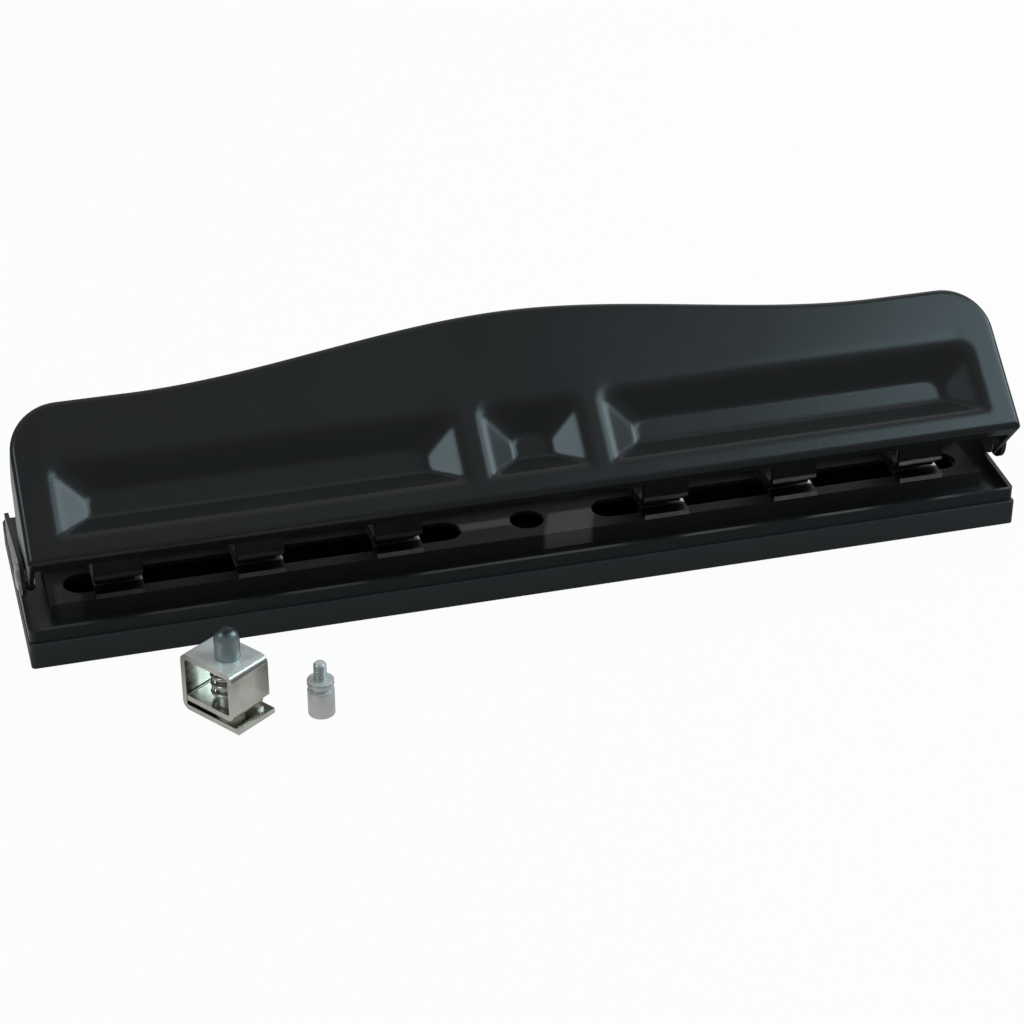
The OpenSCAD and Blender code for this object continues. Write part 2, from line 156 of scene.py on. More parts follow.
class Shade:
    """A node tree that is written as expressions."""

    def __init__(self, tree: bpy.types.NodeTree) -> None:
        """Empties the tree."""
        self.tree = tree
        tree.nodes.clear()

    def add(self, kind: str, settings: Optional[Mapping[str, Any]] = None,
            inputs: Optional[Mapping[Any, Value]] = None) -> bpy.types.Node:
        """Makes one node.

        Args:
            kind: The node's type.
            settings: Attributes that are set first.
            inputs: Values or links of its sockets, by name or number.

        Returns:
            The node.
        """
        node = self.tree.nodes.new(kind)
        for name, value in (settings or {}).items():
            setattr(node, name, value)
        for key, value in (inputs or {}).items():
            if isinstance(value, Wire):
                self.tree.links.new(value.socket, node.inputs[key])
            else:
                node.inputs[key].default_value = value
        return node

    def out(self, node: bpy.types.Node, key: Union[int, str] = 0) -> Wire:
        """One output of a node, ready for arithmetic."""
        return Wire(self, node.outputs[key])

    def place(self, scale: float, stretch: Sequence[float] = (1.0, 1.0, 1.0)) -> Wire:
        """Object coordinates, scaled.

        Args:
            scale: Repeats per metre.
            stretch: Extra factor along each axis.

        Returns:
            The coordinates.
        """
        coords = self.out(self.add("ShaderNodeTexCoord"), "Object")
        size = tuple(scale * s for s in stretch)
        return self.out(self.add("ShaderNodeMapping", inputs={"Vector": coords, "Scale": size}))

    def axes(self) -> tuple[Wire, Wire, Wire]:
        """A point's places along the punch, to the back and up, in metres."""
        parts = self.add("ShaderNodeSeparateXYZ", inputs={0: self.place(1.0)})
        return self.out(parts, 0), self.out(parts, 1), self.out(parts, 2)

    def noise(self, scale: float, detail: float = 3.0, stretch: Sequence[float] = (1.0, 1.0, 1.0)) -> Wire:
        """Noise between 0 and 1, from repeats per metre, octaves and a factor along each axis."""
        inputs = {"Vector": self.place(scale, stretch), "Scale": 1.0, "Detail": detail}
        return self.out(self.add("ShaderNodeTexNoise", inputs=inputs), "Fac")

    def ramp(self, value: Wire, low: float, high: float) -> Wire:
        """A value's share of the way from low to high, kept between 0 and 1."""
        ends = {"Value": value, "From Min": low, "From Max": high}
        return self.out(self.add("ShaderNodeMapRange", {"clamp": True}, ends))

    def past(self, value: Wire, place: float, soft: float) -> Wire:
        """Share by which a value in metres is past a place, within a soft reach, both in millimetres."""
        return self.ramp(value, (place - soft) * MM, (place + soft) * MM)

    def facing(self, axis: int, sign: float) -> Wire:
        """Share by which the skin faces along an axis, or against it for a sign of -1."""
        skin = {0: self.out(self.add("ShaderNodeNewGeometry"), "Normal")}
        return self.ramp(sign * self.out(self.add("ShaderNodeSeparateXYZ", inputs=skin), axis), *FACING)

    def mix(self, share: Value, first: Value, second: Value) -> Wire:
        """Mixes two colours by a share of the second."""
        node = self.add("ShaderNodeMix", {"data_type": "RGBA"}, {0: share, 6: first, 7: second})
        return self.out(node, 2)

    def bump(self, height: Wire, depth: float) -> Wire:
        """A bumped normal, from a height between 0 and 1 and a depth in metres."""
        node = self.add("ShaderNodeBump", inputs={"Strength": 1.0, "Distance": depth, "Height": height})
        return self.out(node)

    def blend(self, share: Wire, first: bpy.types.Node, second: bpy.types.Node) -> Wire:
        """Mixes two shaders by a share of the second."""
        shaders = {0: share, 1: self.out(first), 2: self.out(second)}
        return self.out(self.add("ShaderNodeMixShader", inputs=shaders))

    def surface(self, inputs: Mapping[str, Value]) -> None:
        """Ends a material with one Principled surface."""
        skin = self.add("ShaderNodeBsdfPrincipled", inputs=inputs)
        self.add("ShaderNodeOutputMaterial", inputs={"Surface": self.out(skin)})


def rgba(colour: Sequence[float]) -> tuple[float, float, float, float]:
    """A colour with full alpha."""
    return (colour[0], colour[1], colour[2], 1.0)


def grey(tone: float) -> tuple[float, float, float, float]:
    """A grey with full alpha."""
    return rgba((tone, tone, tone))


def new_material(name: str) -> tuple[bpy.types.Material, Shade]:
    """Makes an empty material.

    Args:
        name: Its name.

    Returns:
        The material and its node tree.
    """
    material = bpy.data.materials.new(name)
    material.use_nodes = True
    return material, Shade(material.node_tree)


@dataclass(frozen=True)
class PaintedReflection:
    """A painted reflection of light on a level face, in millimetres of the row frame; its sides may lean.
    """

    low: Pair
    high: Pair
    colour: Colour
    lean: float = 0.0
    soft: float = 0.7
    grain_scale: float = 500.0
    grain_share: float = 0.5
    grain_least: float = 0.75

    def share(self, shade: Shade) -> Wire:
        """How much of the painted reflection shows.

        Args:
            shade: The node tree.

        Returns:
            The share, between 0 and 1.
        """
        along, back, _ = shade.axes()
        leaned = along - self.lean * (back - self.low[1] * MM)
        share = shade.noise(self.grain_scale) * self.grain_share + self.grain_least
        for value, low, high in zip((leaned, back), self.low, self.high):
            share = share * shade.past(value, low, self.soft)
            share = share * (1.0 - shade.past(value, high, self.soft))
        return shade.ramp(share, 0.0, 1.0)


@dataclass(frozen=True)
class Paint:
    """Baked enamel or moulded plastic: a dark skin with orange peel, faint dust and painted reflections of
    light.
    """

    name: str
    colour: Colour
    dust: Colour
    roughness: float
    spread: float = 0.08
    specular: float = 0.4
    peel_scale: float = 1400.0
    peel_depth: float = 0.004 * MM
    painted_reflections: tuple[PaintedReflection, ...] = ()
    film_scale: float = 22.0
    film_range: Pair = (0.35, 0.75)
    film_share: float = 0.35
    speck_scale: float = 900.0
    speck_range: Pair = (0.62, 0.8)
    speck_share: float = 0.06
    speck_rough: float = 0.03

    def build(self) -> bpy.types.Material:
        """Makes the material.

        Returns:
            The material.
        """
        material, shade = new_material(self.name)
        film = shade.ramp(shade.noise(self.film_scale, detail=4.0), *self.film_range)
        speck = shade.ramp(shade.noise(self.speck_scale, detail=2.0), *self.speck_range)
        dusty = self.film_share * film + self.speck_share * speck
        colour = shade.mix(dusty, rgba(self.colour), rgba(self.dust))
        # Painted reflections: lighter places that stand in for light mirrored from the bright backdrop.
        for reflection in self.painted_reflections:
            colour = shade.mix(reflection.share(shade), colour, rgba(reflection.colour))
        rough = self.roughness - 0.5 * self.spread + self.spread * film + self.speck_rough * speck
        peel = shade.noise(self.peel_scale, detail=2.0)
        shade.surface({"Base Color": colour, "Roughness": rough, "Specular IOR Level": self.specular,
                       "Normal": shade.bump(peel, self.peel_depth)})
        return material


@dataclass(frozen=True)
class Metal:
    """Bare or plated steel: a tinted metal with drawn or turned lines and smudges; faces that look up can
    be painted lighter as a painted highlight, or darker as a painted reflection.
    """

    name: str
    colour: Colour
    stain: Colour
    roughness: float
    spread: float = 0.1
    line_scale: float = 1200.0
    line_stretch: Triple = (0.04, 1.0, 1.0)
    line_depth: float = 0.002 * MM
    line_share: float = 0.2
    line_rough: float = 0.06
    smudge_scale: float = 160.0
    smudge_range: Pair = (0.4, 0.72)
    smudge_share: float = 0.55
    top: Optional[Colour] = None
    top_bare: float = 1.0
    top_from: float = 0.0
    top_soft: float = 0.5
    top_smudge: float = 0.3

    def build(self) -> bpy.types.Material:
        """Makes the material, with faces that look up painted in another tone where it has one, as painted
        light.

        Returns:
            The material.
        """
        material, shade = new_material(self.name)
        lines = shade.noise(self.line_scale, stretch=self.line_stretch)
        smudge = shade.ramp(shade.noise(self.smudge_scale, detail=4.0), *self.smudge_range)
        stained = self.smudge_share * smudge + self.line_share * lines
        colour = shade.mix(stained, rgba(self.colour), rgba(self.stain))
        rough = self.roughness + self.spread * (smudge - 0.5) + self.line_rough * lines
        bare: Value = 1.0
        # Painted light: faces that look up, above a height, take the top tone and lose metal sheen; a
        # lighter top is a painted highlight, a darker one a painted reflection of the dark punch.
        if self.top is not None:
            high = shade.past(shade.axes()[2], self.top_from + self.top_soft, self.top_soft)
            painted_top = shade.facing(2, 1.0) * high * (1.0 - self.top_smudge * smudge)
            colour = shade.mix(painted_top, colour, rgba(self.top))
            bare = 1.0 - (1.0 - self.top_bare) * painted_top
        shade.surface({"Base Color": colour, "Roughness": rough, "Metallic": bare,
                       "Normal": shade.bump(lines, self.line_depth)})
        return material


@dataclass(frozen=True)
class NickelWithPaintedLight:
    """Nickel plate of a seated head: its front painted near black as painted shade and painted dark
    reflection, with painted highlights on the lip's edges and on a bar over the paper slot.
    """

    name: str
    plate: Colour = (0.62, 0.6, 0.55)
    painted_shade: Colour = (0.022, 0.021, 0.02)
    stain: Colour = (0.016, 0.014, 0.012)
    highlight_colour: Colour = (0.85, 0.8, 0.7)
    roughness: float = 0.26
    smudge_rough: float = 0.1
    front_rough: float = 0.08
    specular: float = 0.2
    smudge_scale: float = 180.0
    smudge_range: Pair = (0.38, 0.72)
    line_scale: float = 1200.0
    line_stretch: Triple = (0.04, 1.0, 1.0)
    line_depth: float = 0.002 * MM
    plate_top: float = 14.45
    plate_soft: float = 0.1
    bar_low: float = 17.8
    bar_high: float = 19.0
    bar_soft: float = 0.25
    front: float = -20.0
    front_soft: float = 0.5
    pitch: float = 38.1
    highlight_left: float = -6.8
    highlight_soft: float = 0.6
    highlight_least: float = 0.65
    highlight_bare: float = 0.3
    wander: float = 0.3
    lip_least: float = 0.25
    lip_range: Pair = (-120.0, 110.0)
    bar_least: float = 0.1
    bar_range: Pair = (20.0, 112.0)

    def ahead_share(self, shade: Shade) -> Wire:
        """Share by which a place lies in the head's front part."""
        return 1.0 - shade.past(shade.axes()[1], self.front, self.front_soft)

    @staticmethod
    def growing(shade: Shade, along: Wire, least: float, reach: Pair) -> Wire:
        """A share that grows from its least to 1 along the punch, over a reach in millimetres."""
        return least + (1.0 - least) * shade.ramp(along, reach[0] * MM, reach[1] * MM)

    def highlight_share(self, shade: Shade, smudge: Wire) -> Wire:
        """How much painted highlight shows.

        Args:
            shade: The node tree.
            smudge: Uneven value between 0 and 1.

        Returns:
            The share: the lip's front and right-hand edges, and a bar over the paper slot.
        """
        along, _, height = shade.axes()
        forward, sideways = shade.facing(1, -1.0), shade.facing(0, 1.0)
        half = 0.5 * self.pitch * MM
        row = shade.add("ShaderNodeMath", {"operation": "WRAP"}, {0: along, 1: half, 2: -half})
        beside = shade.out(row)
        # Painted highlight only on the right-hand part of each head's front.
        kept = shade.past(beside, self.highlight_left, self.highlight_soft)
        uneven = height + self.wander * MM * (smudge - 0.5)
        plate = 1.0 - shade.past(height, self.plate_top, self.plate_soft)
        rise = shade.past(uneven, self.bar_low, self.bar_soft)
        fall = shade.past(uneven, self.bar_high, self.bar_soft)
        # Painted light: the highlights grow stronger towards the right-hand end of the punch.
        lip = self.growing(shade, along, self.lip_least, self.lip_range)
        bar = self.growing(shade, along, self.bar_least, self.bar_range)
        share = plate * (forward + sideways) * lip + (rise - fall) * forward * bar
        patchy = self.highlight_least + (1.0 - self.highlight_least) * smudge
        return shade.ramp(share, 0.0, 1.0) * self.ahead_share(shade) * kept * patchy

    def build(self) -> bpy.types.Material:
        """Makes the material.

        Returns:
            The material.
        """
        material, shade = new_material(self.name)
        smudge = shade.ramp(shade.noise(self.smudge_scale, detail=4.0), *self.smudge_range)
        lines = shade.noise(self.line_scale, stretch=self.line_stretch)
        ahead = self.ahead_share(shade)
        highlight = self.highlight_share(shade, smudge)
        # Painted shade: the front is painted near black and mottled, standing in for shade and a mirror
        # image of dark surroundings.
        dark = shade.mix(smudge, rgba(self.painted_shade), rgba(self.stain))
        colour = shade.mix(ahead, rgba(self.plate), dark)
        # Painted highlights are laid over the dark front.
        shade.surface({"Base Color": shade.mix(highlight, colour, rgba(self.highlight_colour)),
                       "Roughness": self.roughness + self.smudge_rough * smudge + self.front_rough * ahead,
                       "Metallic": 1.0 - ahead + self.highlight_bare * highlight,
                       "Specular IOR Level": self.specular,
                       "Normal": shade.bump(lines, self.line_depth)})
        return material


@dataclass(frozen=True)
class Finishes:
    """Every finish of the punch, made once."""

    lever: Paint = Paint("lever_enamel", (0.0295, 0.0278, 0.0274), (0.0435, 0.0415, 0.041), 0.27, 0.05, 0.4)
    base: Paint = Paint("base_enamel", (0.034, 0.034, 0.0345), (0.048, 0.047, 0.047), 0.32, 0.1, 0.35)
    # Painted reflections on the rail: light places at the vacant middle seat, beside it and at the
    # left-hand end.
    rail: Paint = Paint("rail_enamel", (0.058, 0.055, 0.053), (0.074, 0.07, 0.067), 0.5, 0.1, 0.15,
                        painted_reflections=(PaintedReflection((0.1, -31.1), (13.6, -13.9), (0.34, 0.33, 0.335), 0.38),
                                 PaintedReflection((-20.0, -16.7), (-4.0, -13.2), (0.34, 0.325, 0.325)),
                                 PaintedReflection((-131.0, -24.0), (-124.5, -14.5), (0.2, 0.19, 0.185))))
    tray: Paint = Paint("tray_plastic", (0.076, 0.074, 0.073), (0.094, 0.092, 0.09), 0.5, 0.08, 0.35,
                        2200.0, 0.012 * MM)
    # Painted highlight: the plate's faces that look up are painted pale.
    nickel: Metal = Metal("nickel_plate", (0.63, 0.62, 0.57), (0.36, 0.34, 0.29), 0.2, 0.12,
                          top=(0.95, 0.93, 0.88), top_bare=0.1, top_from=12.0)
    # Seated heads: nickel with painted shade on the front and painted highlights on its edges.
    seated: NickelWithPaintedLight = NickelWithPaintedLight("seated_nickel_painted_light")
    # Painted reflection: the pin's dome is painted dark, standing in for its mirror image of the dark punch
    # above.
    pin: Metal = Metal("pin_steel", (0.46, 0.52, 0.52), (0.32, 0.37, 0.38), 0.36, 0.08,
                       line_stretch=(1.0, 1.0, 0.05), top=(0.03, 0.036, 0.036))
    # Painted highlight: the cutter's faces that look up are painted pale.
    cutter: Metal = Metal("cutter_steel", (0.66, 0.67, 0.64), (0.5, 0.5, 0.48), 0.42, 0.1, 1500.0,
                          (0.05, 0.05, 1.0), top=(0.95, 0.95, 0.93), top_bare=0.1)
    spring: Metal = Metal("spring_wire", (0.62, 0.6, 0.54), (0.4, 0.37, 0.3), 0.22, 0.1)
    rivet: Metal = Metal("rivet_zinc", (0.66, 0.66, 0.66), (0.5, 0.5, 0.5), 0.3, 0.1)

    def build(self) -> dict[Finish, bpy.types.Material]:
        """Makes all the materials, by finish."""
        return {finish: getattr(self, finish.value).build() for finish in Finish}


Materials = Mapping[Finish, bpy.types.Material]
Nodes = Mapping[str, bpy.types.Object]
Mesh = tuple[np.ndarray, list[list[int]]]


def smooth_faces(mesh: bpy.types.Mesh, crease: float) -> None:
    """Shades a mesh smooth, with edges above a crease angle in degrees left sharp."""
    mesh.polygons.foreach_set("use_smooth", [True] * len(mesh.polygons))
    mesh.set_sharp_from_angle(angle=math.radians(crease))


def new_piece(name: str, points: np.ndarray, faces: Sequence[Sequence[int]],
              material: bpy.types.Material, crease: float = CREASE) -> bpy.types.Object:
    """Makes a mesh object with smooth faces and sharp creases.

    Args:
        name: The piece's name.
        points: Its points, in metres.
        faces: Its faces, as point numbers.
        material: Its finish.
        crease: Angle in degrees above which an edge stays sharp.

    Returns:
        The object, linked to the scene.
    """
    mesh = bpy.data.meshes.new(name)
    mesh.from_pydata([tuple(p) for p in points], [], [tuple(f) for f in faces])
    work = bmesh.new()
    work.from_mesh(mesh)
    bmesh.ops.remove_doubles(work, verts=work.verts, dist=WELD)
    bmesh.ops.recalc_face_normals(work, faces=work.faces)
    work.to_mesh(mesh)
    work.free()
    mesh.materials.append(material)
    smooth_faces(mesh, crease)
    piece = bpy.data.objects.new(name, mesh)
    bpy.context.scene.collection.objects.link(piece)
    return piece


def bake_modifiers(piece: bpy.types.Object) -> None:
    """Turns a piece's modifiers into plain mesh.

    Args:
        piece: The piece.
    """
    bpy.context.view_layer.update()
    seen = piece.evaluated_get(bpy.context.evaluated_depsgraph_get())
    mesh = bpy.data.meshes.new_from_object(seen)
    piece.modifiers.clear()
    piece.data = mesh
    smooth_faces(mesh, CREASE)


def ring_faces(rings: int, sides: int) -> list[list[int]]:
    """Faces between rings of points that follow each other.

    Args:
        rings: Number of rings.
        sides: Points in each ring.

    Returns:
        Four-sided faces, as point numbers.
    """
    faces = []
    for here in range(0, (rings - 1) * sides, sides):
        for k in range(sides):
            m = (k + 1) % sides
            faces.append([here + k, here + m, here + sides + m, here + sides + k])
    return faces


def lathe(profile: Sequence[Pair], sides: int = 64) -> Mesh:
    """Turns a profile about the Z axis.

    Args:
        profile: Radius and height of each point, in metres; a radius of 0 closes an end.
        sides: Steps around the axis.

    Returns:
        Points and faces.
    """
    turn = np.linspace(0.0, 2.0 * math.pi, sides, endpoint=False)
    points = np.array([(r * math.cos(a), r * math.sin(a), z) for r, z in profile for a in turn])
    return points, ring_faces(len(profile), sides)


def rounded(points: Sequence[Pair], radius: float,
            steps: int = 4) -> list[Pair]:
    """Rounds the inner corners of an open profile.

    Args:
        points: The profile's corners.
        radius: Radius of the rounding, cut down at short sides.
        steps: Points along each rounding.

    Returns:
        The rounded profile.
    """
    line = [Vector(p) for p in points]
    result = [tuple(line[0])]
    for before, here, after in zip(line, line[1:], line[2:]):
        back, ahead = before - here, after - here
        reach = min(radius, SIDE_SHARE * back.length, SIDE_SHARE * ahead.length)
        start, end = here + reach * back.normalized(), here + reach * ahead.normalized()
        for i in range(steps + 1):
            t = i / steps
            result.append(tuple((1 - t) ** 2 * start + 2 * t * (1 - t) * here + t * t * end))
    result.append(tuple(line[-1]))
    return result


def tube(path: np.ndarray, radius: float, sides: int = 12) -> Mesh:
    """Sweeps a round wire along a path about the Z axis.

    Args:
        path: Points along the wire, in metres, about the axis through the origin.
        radius: The wire's radius.
        sides: Steps around the wire.

    Returns:
        Points and faces, with closed ends.
    """
    tangent = np.gradient(path, axis=0)
    tangent /= np.linalg.norm(tangent, axis=1)[:, None]
    outward = path * (1.0, 1.0, 0.0)
    outward -= tangent * np.sum(outward * tangent, axis=1)[:, None]
    outward /= np.linalg.norm(outward, axis=1)[:, None]
    across = np.cross(tangent, outward)
    turn = np.linspace(0.0, 2.0 * math.pi, sides, endpoint=False)
    rings = [path[i] + radius * (np.cos(turn)[:, None] * outward[i] + np.sin(turn)[:, None] * across[i])
             for i in range(len(path))]
    faces = ring_faces(len(path), sides)
    last = (len(path) - 1) * sides
    faces.append(list(range(sides)))
    faces.append([last + k for k in range(sides)])
    return np.concatenate(rings), faces


def smooth_min(a: np.ndarray, b: np.ndarray, blend: float) -> np.ndarray:
    """The lower of two heights, blended where they meet."""
    near = np.maximum(blend - np.abs(a - b), 0.0)
    return np.minimum(a, b) - near * near / (4.0 * blend)


def smooth_max(a: np.ndarray, b: np.ndarray, blend: float) -> np.ndarray:
    """The higher of two heights, blended where they meet."""
    return -smooth_min(-a, -b, blend)


@dataclass(frozen=True)
class Recess:
    """One pressed recess of the lever: its rim and the runs of its four walls, in millimetres."""

    left: float
    right: float
    run_end: float
    low: float = 6.5
    high: float = 26.6
    run_low: float = 6.2
    run_high: float = 7.2
    depth: float = 6.5
    rim_blend: float = 1.3
    upper_blend: float = 2.0
    lower_blend: float = 1.0
    floor_blend: float = 0.5
    scoop_blend: float = 1.3
    mitre_blend: float = 1.0
    corner_blend: float = 3.6

    def eased(self, wall: np.ndarray, blend: float) -> np.ndarray:
        """A wall's depth, with its turn into the face made softer by a blend."""
        rise = wall + self.rim_blend
        return 0.5 * (rise + np.hypot(rise, blend)) - self.rim_blend

    def sunk(self, x: np.ndarray, s: np.ndarray) -> np.ndarray:
        """How deep the face is pressed in.

        Args:
            x: Places along the lever.
            s: Places up the slope.

        Returns:
            Depths below the face.
        """
        floor = np.full_like(x, self.depth)
        ends = smooth_min((x - self.left) * self.depth / self.run_end,
                          (self.right - x) * self.depth / self.run_end, self.mitre_blend)
        upper = self.eased((self.high - s) * self.depth / self.run_high, self.upper_blend)
        lower = self.eased((s - self.low) * self.depth / self.run_low, self.lower_blend)
        upper_part = smooth_min(smooth_min(ends, upper, self.corner_blend), floor, self.floor_blend)
        lower_part = smooth_min(lower, floor, self.scoop_blend)
        deep = smooth_min(upper_part, lower_part, self.mitre_blend)
        return smooth_max(deep, np.zeros_like(x), self.rim_blend)


@dataclass
class PressedLever:
    """The long lever: a waved face with three recesses, a rolled hem and end flanges down to the pivots."""

    materials: Materials
    pivot: Vector
    half: float
    lip_y: float
    lip_z: float = 33.3
    lean: float = 39.8
    face_w: float = 44.4
    wave_rise: float = 10.2
    wave_half: float = 105.5
    corner_r: float = 13.5
    hem: float = 5.8
    bend_r: float = 1.8
    lip_reach: float = 1.7
    lip_r: float = 1.9
    corner_power: float = 6.0
    sheet: float = 1.2
    pivot_bore: float = 4.1
    drill_over: float = 1.1
    drill_sides: int = 32
    columns: int = 340
    rows: int = 44
    arc_rows: int = 16
    fan_steps: int = 8
    bend_steps: int = 8
    wall_steps: int = 6
    recesses: tuple[Recess, ...] = (Recess(-129.2, -20.4, 9.4), Recess(-13.8, 13.8, 9.0),
                                    Recess(20.4, 129.2, 9.4))

    def rear_edge(self, x: np.ndarray) -> np.ndarray:
        """The rear edge's place up the slope, at places along the lever."""
        t = np.clip(np.abs(x) / self.wave_half, 0.0, 1.0)
        return self.face_w + self.wave_rise * (1.0 - t * t * (3.0 - 2.0 * t))

    def rear_slope(self, x: float, step: float = 0.1) -> float:
        """The rear edge's slope at one place along the lever."""
        rise = self.rear_edge(np.array(x + step)) - self.rear_edge(np.array(x - step))
        return float(rise) / (2.0 * step)

    def flange_depth(self, s: float) -> float:
        """Depth of the end flange below the face, at a place up the slope.

        Args:
            s: The place up the slope.

        Returns:
            The depth, down to the lobe around the pivot.
        """
        places = (0.0, 0.8, 2.2, 4.4, 13.2, 14.6, 16.4, 29.4, 30.6, 31.6, 33.0, 36.0)
        depths = (20.6, 22.8, 24.2, 25.0, 28.4, 28.7, 28.0, 18.4, 16.6, 12.0, 7.4, self.hem)
        return float(np.interp(s, places, depths))

    def world(self, x: np.ndarray, s: np.ndarray, n: np.ndarray) -> np.ndarray:
        """Points in metres, from places along the lever, up the slope and out of the face."""
        c, k = math.cos(math.radians(self.lean)), math.sin(math.radians(self.lean))
        return MM * np.stack([x, self.lip_y + s * c - n * k, self.lip_z + s * k + n * c], axis=-1)

    def face_grid(self) -> tuple[np.ndarray, np.ndarray]:
        """Places of the face's grid, inside the rolled edge.

        Returns:
            Places along the lever and up the slope, one row of the grid after another.
        """
        share = np.linspace(-1.0, 1.0, self.columns + 1)
        bend_x = self.half - self.corner_r
        corner_s = self.face_w - self.corner_r
        inner_r = self.corner_r - self.bend_r
        xs, ss = [], []
        for s in np.linspace(self.lip_reach, corner_s, self.rows + 1):
            xs.append(share * (self.half - self.bend_r))
            ss.append(np.full_like(share, s))
        for angle in np.linspace(0.0, QUARTER, self.arc_rows + 1)[1:]:
            x = share * (bend_x + inner_r * math.cos(angle))
            xs.append(x)
            ss.append(corner_s + (self.rear_edge(x) - self.bend_r - corner_s) * math.sin(angle))
        return np.array(xs), np.array(ss)

    def corner_reach(self, angle: float) -> Pair:
        """Reach of the rolled edge around a lower corner.

        Args:
            angle: Turn from the lip's direction to the end's, in radians.

        Returns:
            Reach along the lever and down the slope, squarer than a quarter of an ellipse.
        """
        across, down = math.sin(angle), math.cos(angle)
        size = (across ** self.corner_power + down ** self.corner_power) ** (-1.0 / self.corner_power)
        return self.bend_r * across * size, self.lip_reach * down * size

    def rim_loop(self, xs: np.ndarray, ss: np.ndarray) -> tuple[list[tuple[int, int]], np.ndarray]:
        """The grid's border, once around, with the reach and the depth of its rolled edge.

        Args:
            xs: The grid's places along the lever.
            ss: The grid's places up the slope.

        Returns:
            Grid cells of the border, and for each its reach along the lever and up the slope, the radius
            of its roll and the depth of its turned-down edge.
        """
        last_row, last_col = xs.shape[0] - 1, xs.shape[1] - 1
        corner_r = 0.5 * (self.lip_r + self.bend_r)
        cells, edge = [], []

        def put(row: int, col: int, along: float, up: float, radius: float, depth: float) -> None:
            """Adds one border point."""
            cells.append((row, col))
            edge.append((along, up, radius, depth))

        def side_direction(row: int) -> Pair:
            """Outward direction on the right-hand border."""
            angle = QUARTER * max(row - self.rows, 0) / self.arc_rows
            return math.cos(angle), math.sin(angle)

        fan = [QUARTER * i / self.fan_steps for i in range(1, self.fan_steps)]
        low_depth = self.flange_depth(0.0)
        side = [self.flange_depth(ss[row, last_col]) for row in range(last_row + 1)]
        for col in range(last_col + 1):
            put(0, col, 0.0, -self.lip_reach, self.lip_r, self.hem)
        for angle in fan:
            along, down = self.corner_reach(angle)
            put(0, last_col, along, -down, corner_r, low_depth)
        for row in range(last_row + 1):
            along, up = side_direction(row)
            put(row, last_col, self.bend_r * along, self.bend_r * up, self.bend_r, side[row])
        for col in range(last_col - 1, 0, -1):
            slope = self.rear_slope(xs[last_row, col])
            size = self.bend_r / math.hypot(slope, 1.0)
            put(last_row, col, -slope * size, size, self.bend_r, self.hem)
        for row in range(last_row, -1, -1):
            along, up = side_direction(row)
            put(row, 0, -self.bend_r * along, self.bend_r * up, self.bend_r, side[row])
        for angle in reversed(fan):
            along, down = self.corner_reach(angle)
            put(0, 0, -along, -down, corner_r, low_depth)
        return cells, np.array(edge)

    def outer_skin(self) -> Mesh:
        """The lever's outer skin.

        Returns:
            Points in metres and faces.
        """
        xs, ss = self.face_grid()
        heights = -sum(r.sunk(xs, ss) for r in self.recesses)
        rows, cols = xs.shape
        points = [self.world(xs.ravel(), ss.ravel(), heights.ravel())]
        faces = [[r * cols + c, r * cols + c + 1, (r + 1) * cols + c + 1, (r + 1) * cols + c]
                 for r in range(rows - 1) for c in range(cols - 1)]
        cells, edge = self.rim_loop(xs, ss)
        along, up, radius, deep = edge.T
        base_x = np.array([xs[cell] for cell in cells])
        base_s = np.array([ss[cell] for cell in cells])
        before = [r * cols + c for r, c in cells]
        levels = [(math.sin(a), radius * (1.0 - math.cos(a)))
                  for a in np.linspace(0.0, QUARTER, self.bend_steps + 1)[1:]]
        walls = np.linspace(0.0, 1.0, self.wall_steps + 1)[1:]
        levels += [(1.0, radius + (deep - radius) * t) for t in walls]
        count = rows * cols
        for reach, drop in levels:
            points.append(self.world(base_x + reach * along, base_s + reach * up, -drop))
            here = [count + i for i in range(len(cells))]
            count += len(cells)
            for i in range(len(cells)):
                j = (i + 1) % len(cells)
                ring = [before[i], here[i], here[j], before[j]]
                faces.append(list(dict.fromkeys(ring)))
            before = here
        return np.concatenate(points), faces

    def build(self) -> bpy.types.Object:
        """Makes the lever and puts it on its body.

        Returns:
            The piece.
        """
        points, faces = self.outer_skin()
        piece = new_piece("lever_pressing", points, faces, self.materials[Finish.LEVER])
        thick = piece.modifiers.new("sheet", "SOLIDIFY")
        thick.thickness = self.sheet * MM
        thick.offset = -1.0
        thick.use_even_offset = True
        bake_modifiers(piece)
        self.drill(piece)
        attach(piece, Body.LEVER.value)
        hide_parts("lever_handle")
        return piece

    def drill(self, piece: bpy.types.Object) -> None:
        """Cuts the pivot bores through both end flanges.

        Args:
            piece: The lever.
        """
        reach = self.drill_over * self.half * MM
        bore = 0.5 * self.pivot_bore * MM
        profile = [(0.0, -reach), (bore, -reach), (bore, reach), (0.0, reach)]
        points, faces = lathe(profile, self.drill_sides)
        turned = np.stack([points[:, 2], points[:, 0] + self.pivot.y, points[:, 1] + self.pivot.z], axis=-1)
        drill = new_piece("pivot_drill", turned, faces, self.materials[Finish.LEVER])
        cut = piece.modifiers.new("bore", "BOOLEAN")
        cut.operation = "DIFFERENCE"
        cut.solver = "EXACT"
        cut.object = drill
        bake_modifiers(piece)
        bpy.data.objects.remove(drill)


def dress_node(node: bpy.types.Object, material: bpy.types.Material, edge: float) -> bpy.types.Object:
    """Gives a node of the frame its finish and softened edges.

    Args:
        node: The node's object.
        material: Its finish.
        edge: Width of the softened edges, in millimetres.

    Returns:
        The node's object.
    """
    node.data.materials.clear()
    node.data.materials.append(material)
    flat = node.modifiers.new("flat_faces", "DECIMATE")
    flat.decimate_type = "DISSOLVE"
    flat.angle_limit = math.radians(FLAT_ANGLE)
    soft = node.modifiers.new("soft_edges", "BEVEL")
    soft.width = edge * MM
    soft.segments = EDGE_STEPS
    soft.limit_method = "ANGLE"
    soft.angle_limit = math.radians(EDGE_ANGLE)
    soft.harden_normals = True
    return node


